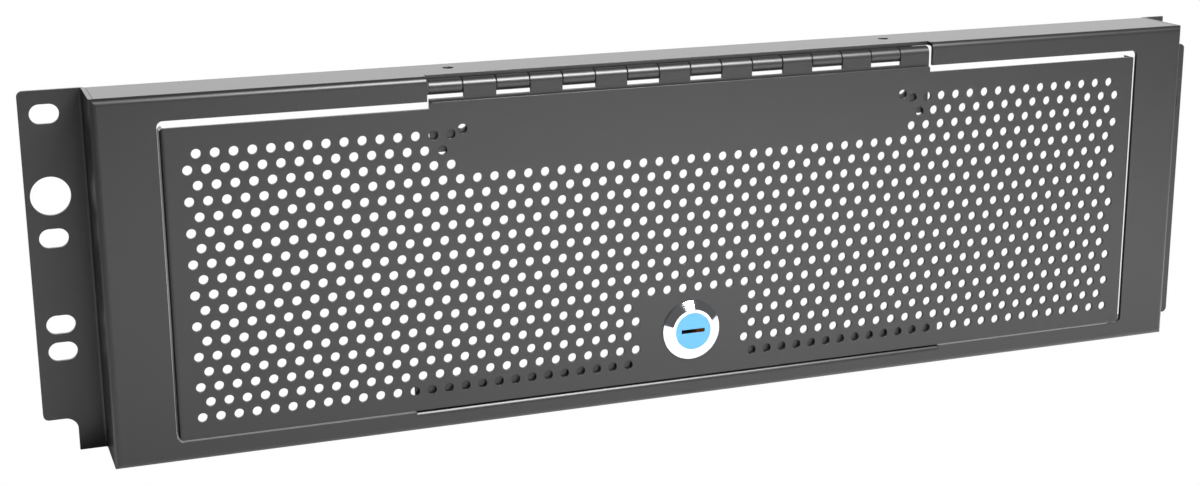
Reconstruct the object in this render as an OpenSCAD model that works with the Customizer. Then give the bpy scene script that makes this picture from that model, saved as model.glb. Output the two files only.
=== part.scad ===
// Perforated rack door, three rack units high.
// A folded steel frame bolts to the rack rails by its two ears and stands in front of them.
// A perforated door fills the frame's face. It swings up on a piano hinge, and a cam lock holds it shut.
// X runs along the panel, Y from the front to the back, Z up.
// The origin is the middle of the frame's underside, so the face stands half the depth in front of it.

/* [Panel] */
// Width over both ears
panel_w = 482.6; // [440:1:600]
// Height of the panel
panel_h = 132.5; // [120:0.5:180]
// Depth from the face to the back of the ears
panel_d = 28; // [26:1:40]
// Thickness of the frame's sheet
frame_t = 1.5; // [1:0.1:1.8]
// Inside radius of the frame's bends
bend_in = 0.8; // [0.5:0.1:1.2]
// Width of the weld line left at the flanges' ends
seam_w = 0.25; // [0.1:0.05:0.4]

/* [Ears] */
// Reach of each ear past the side wall
ear_reach = 21.6; // [20:0.1:26]
// Distance from the ear's outer edge to the line of slots
slot_edge = 8.75; // [8:0.05:10]
// Length of a screw slot
slot_l = 10.2; // [9:0.1:11]
// Width of a screw slot
slot_w = 7; // [6:0.1:8]
// Height of the middle of the two slots that both ears share
slot_mid_z = 63.7; // [60:0.1:80]
// Distance between those two slots, two holes of the rail's pattern
slot_pitch = 31.75; // [25:0.05:35]
// Distance down to the third slot that both ears share
slot_step = 10; // [9:0.1:12]
// Distance from the ear's full corner to its corner slot
slot_corner = 8.4; // [6:0.1:9]
// Diameter of the hole that clears a screw already in the rail
clear_d = 14; // [10:0.5:16]
// Height of that hole above the slot under it
clear_rise = 15.3; // [13:0.1:18]
// Width of the notch in each ear's cut corner
notch_w = 12; // [10:0.1:12.5]
// Height of that notch
notch_h = 12.5; // [10:0.1:14]
// Radius inside the notch
notch_r = 4.5; // [1:0.1:6]
// Radius of the ear's free corners
ear_r = 2; // [0.5:0.1:3]

/* [Door opening] */
// Width of the face beside the opening
side_strip = 21.7; // [15:0.1:40]
// Height of the face above the opening
top_strip = 8.9; // [7:0.1:14]
// Height of the face below the opening
bottom_strip = 7.4; // [7:0.1:10]
// Radius of the opening's corners
opening_r = 2.2; // [1:0.1:5]

/* [Door] */
// Thickness of the door's sheet
door_t = 1.2; // [0.8:0.1:1.5]
// Gap beside the door
gap_side = 0.8; // [0.5:0.1:1.5]
// Gap above the door
gap_top = 2.6; // [1.5:0.1:3]
// Gap below the door
gap_bottom = 0.6; // [0.4:0.1:1]
// Radius of the door's corners
door_r = 1.5; // [1:0.1:4]
// Inside radius of the bends at the door's sides
door_bend_in = 0.4; // [0.2:0.1:1]
// Depth of the door's folded sides, from its face
side_fold = 6; // [4:0.1:8]

/* [Perforation] */
// Diameter of a hole
hole_d = 3.5; // [2:0.1:5]
// Distance between hole centres
hole_pitch = 6.5; // [5:0.1:10]
// Least distance from the door's side edges to a hole's centre
hole_side = 7; // [5:0.1:20]
// Distance from the door's lower edge to the lowest row
hole_low = 7.7; // [5:0.1:20]
// Least distance from the door's upper edge to the top row
hole_high = 9.4; // [6:0.1:20]
// Width of the plain field where the hinge is welded on
weld_field_w = 186; // [150:1:200]
// Height of that field below the door's upper edge
weld_field_h = 24; // [15:1:40]
// Width of the plain field round the lock
lock_field_w = 42; // [36:1:60]
// Height of that field above the lock's centre
lock_field_h = 14.5; // [12:0.5:25]

/* [Hinge] */
// Length of the piano hinge
hinge_l = 203.2; // [150:0.1:240]
// Number of knuckles, shared by the two leaves
knuckles = 16; // [8:2:20]
// Thickness of the leaves
leaf_t = 1.2; // [0.8:0.1:1.5]
// Width of the door's leaf from the pin's centre
leaf_w = 23.4; // [18:0.1:26]
// Distance from the frame's leaf to the flange's back edge
leaf_back = 0.5; // [0.2:0.1:3]
// Diameter of the pin
pin_d = 3.1; // [2:0.1:3.5]
// Running gap round the pin in the door's knuckles
pin_gap = 0.05; // [0.02:0.01:0.1]
// Gap between neighbouring knuckles
knuckle_gap = 0.4; // [0.2:0.1:0.8]
// Gap from a knuckle to the edge of the other leaf
knuckle_clear = 1.1; // [0.6:0.05:1.5]
// How far the raised middle of the door's top edge stays below that edge
tab_drop = 1; // [0.4:0.1:2]
// Gap from the hinge's ends to the cut face
hinge_end_gap = 1; // [0.6:0.1:3]
// Distance of the flange's cut edge behind the pin's centre
flange_setback = 0.8; // [0.6:0.1:1.5]
// How much shorter the frame's leaf is at its free end
leaf_trim = 4; // [0:0.5:6]
// Distance from the hinge's ends to the locating holes
locate_end = 11.8; // [8:0.1:16]
// Distance from the pin to the locating holes in a leaf, and in the flange over it
locate_pin = 13.3; // [10:0.1:16]
// Diameter of the locating holes in the leaves and the flange
locate_d = 4.2; // [3:0.1:5]
// Distance from the door's upper edge to its own locating holes
locate_door = 8; // [6:0.1:10]

/* [Stop lip] */
// Width of the lip behind the door's lower edge
lip_w = 220; // [150:1:260]
// Height of the lip's upper edge above the door's lower edge
lip_rise = 10.5; // [8:0.1:14]
// Gap between the closed door and the lip
lip_gap = 0.3; // [0.2:0.1:0.6]
// Gap between the lock's nut and the sides of the notch that clears it
notch_gap = 1.65; // [1:0.05:5]
// Width of the keeper, the tongue folded back out of that notch
keeper_w = 14; // [10:0.5:18]
// Distance from the nut down to the keeper's upper face
keeper_gap = 3.25; // [2.5:0.05:4]

/* [Lock] */
// Height of the lock's centre above the door's lower edge
lock_rise = 18.95; // [18.5:0.05:24]
// Diameter of the plug's barrel
plug_d = 12; // [11:0.1:15]
// Running gap between the plug and the body
plug_gap = 0.05; // [0.02:0.01:0.1]
// How far the plug's head stands out past its barrel
head_rim = 1.25; // [1:0.05:2]
// Thickness of the plug's head
head_t = 1.2; // [0.8:0.1:1.5]
// Thickness of the coloured disc on the plug's face
disc_t = 0.3; // [0.2:0.1:0.5]
// Width of the bezel's flat ring round the plug's face
ring_w = 1.25; // [0.8:0.05:2]
// How far the bezel stands out past the threaded body
bezel_rim = 2.2; // [1.5:0.1:4]
// How far the bezel stands out of the door
bezel_h = 2.4; // [2:0.1:4]
// Height of the bezel's straight rim
rim_h = 0.5; // [0.3:0.1:1]
// Wall between the plug and the outside of the threaded body
body_wall = 3.5; // [3:0.1:5]
// Depth of each of the body's two flats
flat_depth = 1.5; // [1:0.1:2]
// Length of the body behind the door's face
body_l = 11; // [10:0.1:14]
// Gap round the body in the door
body_gap = 0.1; // [0.05:0.05:0.3]
// Thickness of the nut's wall at its flats
nut_wall = 2.5; // [2:0.1:4]
// Thickness of the nut
nut_t = 3.5; // [2:0.1:4]
// How far the toothed washer stands out past the body
washer_rim = 3; // [2:0.1:4]
// Thickness of the toothed washer
washer_t = 0.6; // [0.4:0.1:1]
// Brass left at each end of the keyway
key_wall = 1.2; // [1:0.1:2]
// Height of the keyway
key_h = 1.6; // [1:0.1:2]
// Number of wafers
wafers = 5; // [3:1:5]
// Thickness of a wafer
wafer_t = 0.9; // [0.6:0.1:1]
// Height of a wafer
wafer_h = 4.6; // [4:0.1:5]
// Distance between wafers
wafer_pitch = 1.8; // [1.6:0.1:2]
// Brass left between a wafer's window and its ends
wafer_wall = 2.25; // [2:0.05:3]

/* [Cam] */
// Thickness of the cam
cam_t = 2; // [1.5:0.1:3]
// Width of the cam's arm
cam_w = 13; // [10:0.5:14]
// How far the cam reaches below the keeper's upper face
cam_catch = 2.75; // [2:0.05:4]
// How much smaller the plug's tail is than its barrel
tail_step = 4; // [3:0.1:5]
// Depth of each of the tail's two flats
tail_cut = 1; // [0.5:0.1:1.5]
// Thickness of the stop washer
stop_t = 1; // [0.8:0.1:1.5]
// Wall between the stop washer's rim and the bore
stop_wall = 1.65; // [1:0.05:2]
// Gap between the stop washer and the posts that end its turn
stop_clear = 0.2; // [0.1:0.05:0.3]
// Angle that the cam turns through
cam_turn = 90; // [80:5:90]
// Gap between the keeper and the cam's front
catch_gap = 0.3; // [0.2:0.1:0.5]
// Diameter of the cam screw
screw_d = 4; // [3:0.5:4]
// How far the cam screw's head stands out past its thread
screw_head_rim = 1.8; // [1.5:0.1:2.5]
// Height of the cam screw's head
screw_head_h = 2.4; // [1.5:0.1:3]
// Thickness of the spring washer
spring_t = 0.9; // [0.6:0.1:1.2]

/* [Hidden] */
$fn = 48;
over = 1; // how far a cut runs past the sheet
bend_out = bend_in + frame_t;
body_w = panel_w - 2 * ear_reach;
flange_d = panel_d - frame_t;
// Opening and door
opening_w = body_w - 2 * side_strip;
opening_top = panel_h - top_strip;
opening_h = opening_top - bottom_strip;
door_w = opening_w - 2 * gap_side;
door_low = bottom_strip + gap_bottom;
door_top = opening_top - gap_top;
door_h = door_top - door_low;
door_bend_out = door_bend_in + door_t;
door_flat_w = door_w - 2 * door_bend_out;
// Perforation, rows at sixty degrees
row_pitch = hole_pitch * sin(60);
row_count = floor((door_h - hole_low - hole_high) / row_pitch) + 1;
row_half = floor((door_w - 2 * hole_side) / hole_pitch) / 2;
// Hinge
pin_r = pin_d / 2;
knuckle_r = pin_r + pin_gap + leaf_t;
pin_y = door_t + knuckle_r;
pin_z = panel_h - frame_t - knuckle_r;
knuckle_l = hinge_l / knuckles;
cut_w = hinge_l + 2 * hinge_end_gap;
edge_r = knuckle_r + knuckle_clear;
tab_r = 1;
tab_rise = pin_z - edge_r - tab_drop - door_top;
flange_edge = pin_y + flange_setback;
curl_gap = 0.3;
locate_x = hinge_l / 2 - locate_end;
// Lip: two bends in the sheet, one each way, step it back behind the door
lip_front = door_t + lip_gap;
mid_r = bend_in + frame_t / 2;
step_angle = acos(1 - lip_front / (2 * mid_r));
step_h = 2 * mid_r * sin(step_angle);
step_z = door_low - step_h;
lip_top = door_low + lip_rise;
lip_r = 2;
// Lock
lock_z = door_low + lock_rise;
face_d = plug_d + 2 * head_rim;
bezel_ring_d = face_d + 2 * ring_w;
body_d = plug_d + 2 * body_wall;
body_flats = body_d - 2 * flat_depth;
bezel_d = body_d + 2 * bezel_rim;
nut_af = body_d + 2 * nut_wall;
nut_corner_d = nut_af / cos(30);
washer_d = body_d + 2 * washer_rim;
key_w = plug_d - 2 * key_wall;
tail_d = plug_d - tail_step;
tail_flats = tail_d - 2 * tail_cut;
screw_head_d = screw_d + 2 * screw_head_rim;
bore_r = plug_d / 2 + plug_gap;
recess_r = face_d / 2 + plug_gap;
recess_y = disc_t + head_t + 2 * plug_gap - bezel_h;
disc_y = plug_gap - bezel_h;
head_y = disc_y + disc_t;
tail_y = body_l + plug_gap;
cam_y = tail_y + stop_t;
spring_y = cam_y + cam_t;
screw_y = spring_y + spring_t;
keeper_end = cam_y - catch_gap;
keeper_z = lock_z - nut_af / 2 - keeper_gap;
keeper_low = keeper_z - bend_out;
lip_notch_w = nut_corner_d + 2 * notch_gap;
cam_l = lock_z - keeper_z + cam_catch;
nut_y = door_t + washer_t;
wing_half = 25;
stop_in = bore_r + stop_wall;
stop_out = body_d / 2;
stop_slack = 1;
post_half = 30; // half the open angle between the two posts, opposite the wing
post_start = cam_turn + wing_half + stop_slack;
post_end = 360 - wing_half - stop_slack;
wafer_l = 2 * sqrt(pow(plug_d / 2, 2) - pow(wafer_h / 2, 2));
wafer_y = 1.5;
tail_fit = 0.05;
tooth = [1.6, 1];
spring_slit = 0.4;
head_slot = [4.4, 0.9, 1.1];

// ---- shapes used by several parts ----

// The parts are drawn with the face at Y = 0, and each is moved forward to centre the depth
module placed() {
    translate([0, -panel_d / 2, 0])
        children();
}

// A flat outline in X and Z, made into a plate from y to y + t
module plate(y, t) {
    translate([0, y + t, 0])
        rotate([90, 0, 0])
            linear_extrude(t)
                children();
}

// A shape drawn along the lock's axis, its +Z pointing to the back
module on_lock(y = 0) {
    translate([0, y, lock_z])
        rotate([-90, 0, 0])
            children();
}

// A rectangle with round corners, from its lower left corner
module round_rect(w, h, r) {
    translate([r, 0])
        square([w - 2 * r, h]);
    translate([0, r])
        square([w, h - 2 * r]);
    for (x = [r, w - r], y = [r, h - r])
        translate([x, y])
            circle(r);
}

// A slot with round ends, along X
module slot(l, w) {
    square([l - w, w], center = true);
    for (s = [-1, 1])
        translate([s * (l - w) / 2, 0])
            circle(w / 2);
}

// What is cut off a square corner at the origin to round it, the corner's sides along +X and +Y
module corner_cut(r) {
    difference() {
        translate([-over, -over])
            square(r + over);
        translate([r, r])
            circle(r);
    }
}

// A sheet's cross-section round a bend: centre of the bend at the origin, from angle a to angle b
module bend(a, b, r_in, r_out) {
    reach = 3 * r_out;
    intersection() {
        difference() {
            circle(r_out);
            circle(r_in);
        }
        polygon([[0, 0], for (i = [0:4]) reach * [cos(a + (b - a) * i / 4), sin(a + (b - a) * i / 4)]]);
    }
}

// ---- frame ----

// A box's cross-section, w across and d deep, its front corners round
module front_round(w, d, r) {
    translate([-w / 2, r])
        square([w, d - r]);
    translate([r - w / 2, 0])
        square([w - 2 * r, d]);
    for (s = [-1, 1])
        translate([s * (w / 2 - r), r])
            circle(r);
}

// A box with round edges at its front, from y to the given back
module front_box(w, h, y, back, r) {
    intersection() {
        translate([0, y, panel_h / 2 - h / 2])
            linear_extrude(h)
                front_round(w, back - y, r);
        translate([-w / 2, y, panel_h / 2])
            rotate([90, 0, 90])
                linear_extrude(w)
                    rotate(-90)
                        front_round(h, back - y, r);
    }
}

// The holes of one ear, in X and Z
module ear_holes(s) {
    x = s * (panel_w / 2 - slot_edge);
    slot_z = slot_mid_z - slot_pitch / 2;
    for (z = [slot_z + slot_pitch, slot_z, slot_z - slot_step])
        translate([x, z])
            slot(slot_l, slot_w);
    translate([x, slot_z + slot_pitch + clear_rise])
        circle(clear_d / 2);
    translate([x, s < 0 ? panel_h - slot_corner : slot_corner])
        slot(slot_l, slot_w);
}

// The notch and the round corners of one ear, drawn for an ear at the left with its notch below
module ear_trim() {
    translate([-panel_w / 2, 0]) {
        translate([-over, -over])
            square([notch_w - notch_r + over, notch_h + over]);
        translate([0, -over])
            square([notch_w, notch_h - notch_r + over]);
        translate([notch_w - notch_r, notch_h - notch_r])
            circle(notch_r);
        translate([0, notch_h])
            corner_cut(ear_r);
        translate([0, panel_h])
            mirror([0, 1])
                corner_cut(ear_r);
    }
}

// One ear, folded outward from the side wall. The right ear's outline is the left one's, turned half round
module ear(s) {
    y = flange_d - bend_in;
    difference() {
        mirror([s > 0 ? 1 : 0, 0, 0])
            linear_extrude(panel_h) {
                translate([-body_w / 2 - bend_in, y])
                    bend(0, 90, bend_in, bend_out);
                translate([-panel_w / 2, flange_d])
                    square([ear_reach - bend_in, frame_t]);
            }
        translate([0, 0, s > 0 ? panel_h / 2 : 0])
            rotate([0, s > 0 ? 180 : 0, 0])
                translate([0, 0, s > 0 ? -panel_h / 2 : 0])
                    plate(flange_d - over, frame_t + 2 * over)
                        ear_trim();
        plate(flange_d - over, frame_t + 2 * over)
            ear_holes(s);
    }
}

// The step and the lip above it, as a cross-section in Y and Z
module lip_section(top) {
    centre = [bend_out, step_z];
    next = centre + 2 * mid_r * [-cos(step_angle), sin(step_angle)];
    translate(centre)
        bend(180 - step_angle, 180, bend_in, bend_out);
    translate(next)
        bend(-step_angle, 0, bend_in, bend_out);
    translate([lip_front, door_low])
        square([frame_t, top - door_low]);
}

// A cross-section in Y and Z, made w long across the middle of the panel
module across(w) {
    translate([-w / 2, 0, 0])
        rotate([90, 0, 90])
            linear_extrude(w)
                children();
}

// The lip behind the door's lower edge, notched for the nut, and its keeper
module lip() {
    difference() {
        across(lip_w)
            lip_section(lip_top);
        plate(lip_front - over, frame_t + 2 * over) {
            for (s = [-1, 1])
                translate([s * lip_w / 2, lip_top])
                    mirror([s > 0 ? 1 : 0, 0])
                        mirror([0, 1])
                            corner_cut(lip_r);
            translate([-lip_notch_w / 2, keeper_low])
                square([lip_notch_w, lip_top]);
        }
    }
    across(keeper_w) {
        translate([lip_front + bend_out, keeper_low])
            bend(90, 180, bend_in, bend_out);
        translate([lip_front + bend_out, keeper_z - frame_t])
            square([keeper_end - lip_front - bend_out, frame_t]);
    }
}

// The cut in the face and the top flange where the hinge sits
module hinge_cut() {
    translate([-cut_w / 2, -over, opening_top - opening_r])
        cube([cut_w, flange_edge + over, panel_h]);
}

module frame() {
    color([0.24, 0.24, 0.25])
        placed() {
            difference() {
                front_box(body_w, panel_h, 0, flange_d, bend_out);
                front_box(body_w - 2 * frame_t, panel_h - 2 * frame_t, frame_t, panel_d, bend_in);
                // The side walls stop where the ears' bends begin
                for (s = [-1, 1])
                    translate([s * body_w / 2, flange_d - bend_in + panel_d / 2, panel_h / 2])
                        cube([2 * frame_t, panel_d, panel_h + 2 * over], center = true);
                // Weld lines between the flanges and the side walls
                for (s = [-1, 1], z = [0, panel_h])
                    translate([s * (body_w / 2 - frame_t) - seam_w / 2, bend_out, z - seam_w])
                        cube([seam_w, panel_d, 2 * seam_w]);
                plate(-over, frame_t + 2 * over)
                    translate([-opening_w / 2, bottom_strip])
                        round_rect(opening_w, opening_h, opening_r);
                // The face gives way to the lip
                translate([-lip_w / 2, -over, step_z])
                    cube([lip_w, frame_t + 2 * over, opening_h]);
                hinge_cut();
                for (s = [-1, 1])
                    translate([s * locate_x, pin_y + locate_pin, panel_h - frame_t - over])
                        cylinder(d = locate_d, h = frame_t + 2 * over);
            }
            ear(-1);
            ear(1);
            lip();
        }
}

// ---- door ----

// True where a hole at x, z misses the plain fields for the hinge and the lock
function is_open(x, z) =
    !(abs(x) < weld_field_w / 2 && z > door_top - weld_field_h) &&
    !(abs(x) < lock_field_w / 2 && z < lock_z + lock_field_h);

// The holes of the perforation: every other row is shifted by half a pitch
module perforation() {
    for (row = [0:row_count - 1]) {
        z = door_low + hole_low + row * row_pitch;
        shift = (row_count - 1 - row) % 2 == 0 ? 0.5 : 0;
        for (i = [-row_half + (row_half % 1 == shift ? 0 : 0.5):row_half])
            if (is_open(i * hole_pitch, z))
                translate([i * hole_pitch, z])
                    circle(hole_d / 2);
    }
}

// The body's outline with its two flats, grown by a gap
module double_d(d, flats, gap = 0) {
    intersection() {
        circle(d / 2 + gap);
        square([flats + 2 * gap, 2 * d], center = true);
    }
}

// The door's outline, its top edge raised in the middle
module door_outline() {
    translate([-door_w / 2, door_low])
        round_rect(door_w, door_h, door_r);
    translate([-hinge_l / 2, door_top - door_r])
        round_rect(hinge_l, tab_rise + door_r, tab_r);
}

// One side of the door, folded straight back, as a cross-section in X and Y
module side_section(s) {
    mirror([s > 0 ? 1 : 0, 0]) {
        translate([door_bend_out - door_w / 2, door_bend_out])
            bend(180, 270, door_bend_in, door_bend_out);
        translate([-door_w / 2, door_bend_out])
            square([door_t, side_fold - door_bend_out]);
    }
}

module door() {
    color([0.3, 0.3, 0.31])
        placed() {
            plate(0, door_t)
                difference() {
                    intersection() {
                        door_outline();
                        translate([-door_flat_w / 2, door_low])
                            square([door_flat_w, door_h + tab_rise]);
                    }
                    perforation();
                    for (s = [-1, 1])
                        translate([s * locate_x, door_top - locate_door])
                            circle(hole_d / 2);
                    translate([0, lock_z])
                        double_d(body_d, body_flats, body_gap);
                }
            // The folded sides follow the outline's round corners
            for (s = [-1, 1])
                intersection() {
                    translate([0, 0, door_low])
                        linear_extrude(door_h)
                            side_section(s);
                    plate(0, side_fold)
                        door_outline();
                }
        }
}

// ---- hinge ----

// A leaf with the pin's centre at the origin. It hangs down, and its first knuckle is the second of the row
module leaf(w, bore_r, trim) {
    difference() {
        union() {
            translate([-hinge_l / 2 + trim, -knuckle_r, -w])
                cube([hinge_l - trim, leaf_t, w - edge_r]);
            for (i = [1:2:knuckles - 1]) {
                // The last knuckle ends flush with the leaf
                l = knuckle_l - (i < knuckles - 1 ? knuckle_gap : knuckle_gap / 2);
                translate([-hinge_l / 2 + i * knuckle_l + knuckle_gap / 2, 0, 0]) {
                    translate([0, -knuckle_r, -edge_r - leaf_t])
                        cube([l, leaf_t, edge_r + leaf_t]);
                    rotate([0, 90, 0])
                        cylinder(r = knuckle_r, h = l);
                }
            }
        }
        translate([-hinge_l / 2 - over, 0, 0])
            rotate([0, 90, 0])
                cylinder(r = bore_r, h = hinge_l + 2 * over);
        // The rolled end stops just short of the leaf
        translate([-hinge_l / 2 - over, leaf_t - knuckle_r, -knuckle_r - over])
            cube([hinge_l + 2 * over, curl_gap, knuckle_r + over - bore_r / 2]);
        for (s = [-1, 1])
            translate([s * locate_x, -knuckle_r - over, -locate_pin])
                rotate([-90, 0, 0])
                    cylinder(d = locate_d, h = leaf_t + 2 * over);
    }
}

module hinge_door_leaf() {
    color([0.32, 0.32, 0.33])
        placed()
            translate([0, pin_y, pin_z])
                leaf(leaf_w, pin_r + pin_gap, 0);
}

// The same leaf turned over, so that it lies under the top flange with the other knuckles
module hinge_frame_leaf() {
    color([0.28, 0.28, 0.29])
        placed()
            translate([0, pin_y, pin_z])
                rotate([0, 180, 0])
                    rotate([90, 0, 0])
                        leaf(flange_d - leaf_back - pin_y, pin_r, leaf_trim);
}

module hinge_pin() {
    color([0.75, 0.75, 0.76])
        placed()
            translate([-hinge_l / 2 + knuckle_gap, pin_y, pin_z])
                rotate([0, 90, 0])
                    cylinder(r = pin_r, h = hinge_l - 2 * knuckle_gap);
}

// ---- lock, fixed parts ----

module lock_housing() {
    color([0.85, 0.86, 0.88])
        placed()
            on_lock()
                difference() {
                    union() {
                        translate([0, 0, -rim_h])
                            cylinder(d = bezel_d, h = rim_h);
                        translate([0, 0, -bezel_h])
                            cylinder(d1 = bezel_ring_d, d2 = bezel_d, h = bezel_h - rim_h);
                        linear_extrude(body_l)
                            double_d(body_d, body_flats);
                        // Posts that end the cam's turn
                        translate([0, 0, body_l])
                            linear_extrude(stop_t)
                                intersection() {
                                    union() {
                                        bend(post_start, 180 - post_half, stop_in, stop_out);
                                        bend(180 + post_half, post_end, stop_in, stop_out);
                                    }
                                    double_d(body_d, body_flats);
                                }
                    }
                    translate([0, 0, -bezel_h - over])
                        cylinder(r = recess_r, h = bezel_h + over + recess_y);
                    translate([0, 0, -bezel_h])
                        cylinder(r = bore_r, h = bezel_h + body_l + over);
                }
}

// Internal teeth bite the door, so that the nut can't shake loose
module lock_washer() {
    teeth = 16;
    color([0.7, 0.7, 0.72])
        placed()
            on_lock(door_t)
                linear_extrude(washer_t)
                    difference() {
                        circle(washer_d / 2);
                        circle(body_d / 2);
                        for (i = [0:teeth - 1])
                            rotate(i * 360 / teeth)
                                translate([body_d / 2, 0])
                                    square(tooth, center = true);
                    }
}

module lock_nut() {
    color([0.72, 0.72, 0.74])
        placed()
            on_lock(nut_y)
                difference() {
                    cylinder(d = nut_corner_d, h = nut_t, $fn = 6);
                    translate([0, 0, -over])
                        cylinder(d = body_d, h = nut_t + 2 * over);
                }
}

// ---- lock, turning parts ----

module lock_plug() {
    color([0.78, 0.62, 0.32])
        placed()
            on_lock()
                difference() {
                    union() {
                        translate([0, 0, head_y])
                            cylinder(d = face_d, h = head_t);
                        translate([0, 0, head_y])
                            cylinder(d = plug_d, h = tail_y - head_y);
                        translate([0, 0, head_y])
                            linear_extrude(spring_y - tail_fit - head_y)
                                double_d(tail_d, tail_flats);
                    }
                    // Keyway, blind at its inner end
                    translate([-key_w / 2, -key_h / 2, head_y - over])
                        cube([key_w, key_h, body_l + over - head_y - 1]);
                    for (i = [0:wafers - 1])
                        translate([-plug_d, -wafer_h / 2, wafer_y + i * wafer_pitch])
                            cube([2 * plug_d, wafer_h, wafer_t]);
                    translate([0, 0, body_l])
                        cylinder(d = screw_d, h = spring_y);
                }
}

module lock_face() {
    color([0.42, 0.72, 0.92])
        placed()
            on_lock(disc_y)
                linear_extrude(disc_t)
                    difference() {
                        circle(face_d / 2);
                        square([key_w, key_h], center = true);
                    }
}

// Each wafer's window sits at its own place, as the key's cuts set it
module lock_wafers() {
    window = wafer_l - 2 * wafer_wall;
    color([0.8, 0.66, 0.38])
        placed()
            on_lock()
                for (i = [0:wafers - 1])
                    translate([0, 0, wafer_y + i * wafer_pitch])
                        linear_extrude(wafer_t)
                            difference() {
                                square([wafer_l, wafer_h], center = true);
                                translate([((i * 2) % 3 - 1) * 0.4, 0])
                                    square([window, key_h], center = true);
                            }
}

module stop_washer() {
    color([0.66, 0.66, 0.68])
        placed()
            on_lock(tail_y)
                linear_extrude(stop_t)
                    difference() {
                        union() {
                            circle(stop_in - stop_clear);
                            bend(-wing_half, wing_half, tail_d / 2, stop_out - stop_clear);
                        }
                        double_d(tail_d, tail_flats);
                    }
}

// At rest the cam points to the right, clear of the keeper
module cam() {
    color([0.7, 0.7, 0.72])
        placed()
            on_lock(cam_y)
                linear_extrude(cam_t)
                    difference() {
                        union() {
                            circle(cam_w / 2);
                            translate([0, -cam_w / 2])
                                square([cam_l - cam_w / 4, cam_w]);
                            translate([cam_l - cam_w / 4, cam_w / 4 - cam_w / 2])
                                square([cam_w / 4, cam_w / 2]);
                            for (s = [-1, 1])
                                translate([cam_l - cam_w / 4, s * cam_w / 4])
                                    circle(cam_w / 4);
                        }
                        double_d(tail_d, tail_flats);
                    }
}

module cam_spring_washer() {
    color([0.6, 0.6, 0.62])
        placed()
            on_lock(spring_y)
                linear_extrude(spring_t)
                    difference() {
                        circle(screw_head_d / 2);
                        circle(screw_d / 2);
                        translate([0, -spring_slit / 2])
                            square([screw_head_d, spring_slit]);
                    }
}

module cam_screw() {
    color([0.72, 0.72, 0.74])
        placed()
            on_lock(screw_y)
                difference() {
                    union() {
                        translate([0, 0, body_l - screw_y])
                            cylinder(d = screw_d, h = screw_y - body_l);
                        cylinder(d = screw_head_d, h = screw_head_h);
                    }
                    for (a = [0, 90])
                        rotate(a)
                            translate([0, 0, screw_head_h])
                                cube(head_slot + [0, 0, head_slot.z], center = true);
                }
}

frame();
door();
hinge_frame_leaf();
hinge_door_leaf();
hinge_pin();
lock_housing();
lock_washer();
lock_nut();
lock_plug();
lock_face();
lock_wafers();
stop_washer();
cam();
cam_spring_washer();
cam_screw();
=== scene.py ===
from math import radians

import bpy
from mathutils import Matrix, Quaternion, Vector

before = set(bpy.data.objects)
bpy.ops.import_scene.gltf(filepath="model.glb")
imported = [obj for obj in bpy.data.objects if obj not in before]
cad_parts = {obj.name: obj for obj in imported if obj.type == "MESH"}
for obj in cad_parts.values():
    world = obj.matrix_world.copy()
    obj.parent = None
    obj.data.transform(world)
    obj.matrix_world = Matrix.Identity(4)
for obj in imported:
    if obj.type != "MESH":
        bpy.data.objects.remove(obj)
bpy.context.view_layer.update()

MM = 0.001

# The camera stands to the left of the panel and above it, at arm's length, and looks down a little.
# It is rolled by less than half a degree.
cam_place = Vector((-280.3, -668.4, 247.9)) * MM
cam_target = Vector((-37.3, -14.0, 65.4)) * MM
cam_roll = radians(-0.42)
cam_data = bpy.data.cameras.new("camera")
cam_data.lens = 57.59
cam_data.sensor_width = 36.0
cam_data.clip_start = 0.01
cam_data.clip_end = 50.0
camera = bpy.data.objects.new("camera", cam_data)
bpy.context.scene.collection.objects.link(camera)
camera.location = cam_place
camera.rotation_mode = "QUATERNION"
aim = (cam_target - cam_place).to_track_quat("-Z", "Y")
camera.rotation_quaternion = aim @ Quaternion((0, 0, 1), cam_roll)
bpy.context.scene.camera = camera


def from_hex(code):
    """An sRGB hex colour as linear RGBA."""
    parts = [int(code[i : i + 2], 16) / 255 for i in (1, 3, 5)]
    return [c / 12.92 if c <= 0.04045 else ((c + 0.055) / 1.055) ** 2.4 for c in parts] + [1.0]


def add(material, kind, links=(), **settings):
    """Adds a node. Settings name its sockets or its properties, and links say what feeds which socket."""
    made = material.node_tree.nodes.new(kind)
    for name, value in settings.items():
        if name in made.bl_rna.properties:
            setattr(made, name, value)
        else:
            made.inputs[name.replace("_", " ")].default_value = value
    for source, socket, target in links:
        material.node_tree.links.new(source.outputs[socket], made.inputs[target])
    return made


def new_material(name):
    """A material with a shader and nothing else."""
    material = bpy.data.materials.new(name)
    material.use_nodes = True
    return material, material.node_tree.nodes["Principled BSDF"]


# Satin black powder coat: polyester powder sprayed on and baked, so the sheet looks deep black with a
# soft sheen. The cured film is faintly wavy, which breaks up what it reflects.
def powder_coat(name, colour):
    wave_scale = 650.0  # Waves of the cured film, about 1.5 mm from crest to crest
    wave_height = 0.03 * MM
    edge_radius = 0.35 * MM
    material, shader = new_material(name)
    shader.inputs["Base Color"].default_value = from_hex(colour)
    shader.inputs["Roughness"].default_value = 0.36
    shader.inputs["IOR"].default_value = 1.5
    place = add(material, "ShaderNodeTexCoord")
    film = add(material, "ShaderNodeTexNoise", [(place, "Object", "Vector")], Scale=wave_scale, Detail=2.0)
    # The film rounds every cut edge, and those edges catch the light
    edge = add(material, "ShaderNodeBevel", samples=6, Radius=edge_radius)
    relief = add(material, "ShaderNodeBump", [(film, "Fac", "Height"), (edge, "Normal", "Normal")],
                 Strength=0.12, Distance=wave_height)
    material.node_tree.links.new(relief.outputs["Normal"], shader.inputs["Normal"])
    return material


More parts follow.
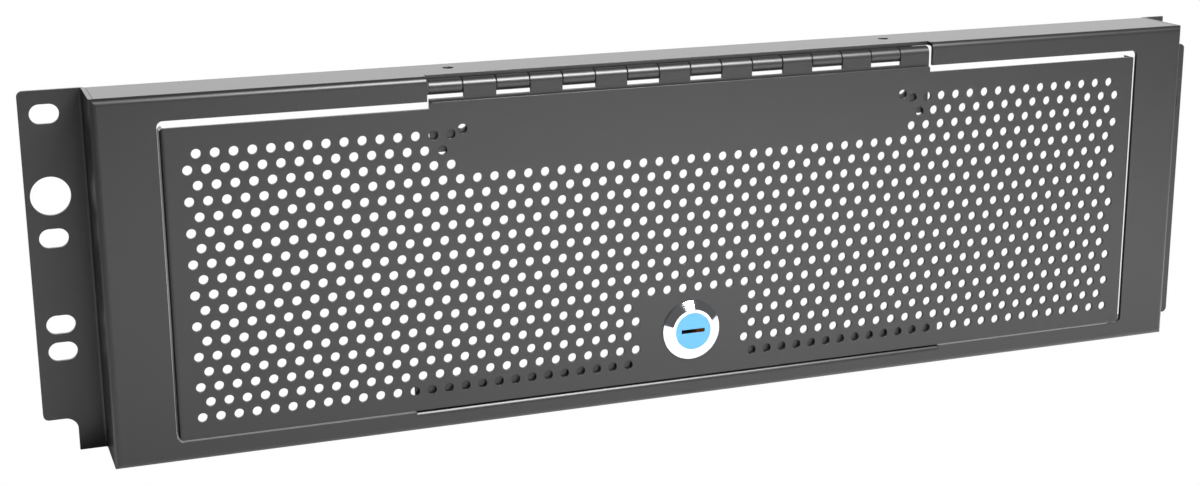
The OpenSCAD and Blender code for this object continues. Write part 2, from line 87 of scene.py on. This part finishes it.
def finish_nodes(material, *names):
    """Gives CAD nodes one material."""
    for name in names:
        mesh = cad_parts[name].data
        mesh.materials.clear()
        mesh.materials.append(material)


coat = powder_coat("satin_black_powder_coat", "#1b1b1c")
finish_nodes(coat, "frame", "door", "hinge_frame_leaf", "hinge_door_leaf")


def plain_metal(name, colour, roughness):
    material, shader = new_material(name)
    shader.inputs["Base Color"].default_value = from_hex(colour)
    shader.inputs["Metallic"].default_value = 1.0
    shader.inputs["Roughness"].default_value = roughness
    return material


# Zinc-plated steel on the hardware, chrome on the lock's body, and brass inside the lock
zinc = plain_metal("zinc_plate", colour="#b4b6b8", roughness=0.35)
chrome = plain_metal("chrome_plate", colour="#d9dbe0", roughness=0.06)
brass = plain_metal("brass", colour="#c4a058", roughness=0.3)
finish_nodes(zinc, "hinge_pin", "lock_washer", "lock_nut", "stop_washer", "cam", "cam_spring_washer",
             "cam_screw")
finish_nodes(chrome, "lock_housing")
finish_nodes(brass, "lock_plug", "lock_wafers")
# The blue plastic disc on the plug's face
blue, blue_shader = new_material("blue_plastic")
blue_shader.inputs["Base Color"].default_value = from_hex("#4585b4")
blue_shader.inputs["Roughness"].default_value = 0.4
finish_nodes(blue, "lock_face")

# The floor is a plain white sheet. It reads white to the camera, and everything else sees it as it
# is lit.
bpy.ops.mesh.primitive_plane_add(size=8.0, location=(0, 0, 0))
floor = bpy.context.object
floor.name = "floor"
white, white_shader = new_material("white_floor")
white_shader.inputs["Base Color"].default_value = (0.8, 0.8, 0.8, 1)
white_shader.inputs["Roughness"].default_value = 1.0
rays = add(white, "ShaderNodeLightPath")
glow = add(white, "ShaderNodeEmission", Strength=1.0)
blend = add(white, "ShaderNodeMixShader",
            [(rays, "Is Camera Ray", "Fac"), (white_shader, "BSDF", 1), (glow, "Emission", 2)])
surface = white.node_tree.nodes["Material Output"].inputs["Surface"]
white.node_tree.links.new(blend.outputs[0], surface)
floor.data.materials.append(white)

# A dim room, so that the black finish keeps its depth
world = bpy.data.worlds.new("studio")
bpy.context.scene.world = world
world.use_nodes = True
background = world.node_tree.nodes["Background"]
background.inputs["Color"].default_value = (1, 1, 1, 1)
background.inputs["Strength"].default_value = 0.13


def softbox(name, place, target, size, watts):
    """A rectangular lamp that faces a point. Sizes and places are in metres."""
    data = bpy.data.lights.new(name, "AREA")
    data.shape = "RECTANGLE"
    data.size, data.size_y = size
    data.energy = watts
    made = bpy.data.objects.new(name, data)
    bpy.context.scene.collection.objects.link(made)
    made.location = place
    made.rotation_mode = "QUATERNION"
    made.rotation_quaternion = (Vector(target) - Vector(place)).to_track_quat("-Z", "Y")


# A wall of light behind the panel runs over its top, a strip above the front draws the edges, and a
# lamp at the right front brightens the floor that the middle of the face mirrors.
softbox("back_wall", place=(0.3, 1.6, 0.42), target=(0, 0, 0.1), size=(3.2, 0.8), watts=17)
softbox("front_strip", place=(0, -0.42, 0.85), target=(0, 0, 0.1), size=(1.5, 0.14), watts=4)
softbox("front_pool", place=(0.14, -0.42, 0.55), target=(0.12, -0.24, 0), size=(0.34, 0.26), watts=12)

bpy.context.scene.view_settings.view_transform = "Standard"
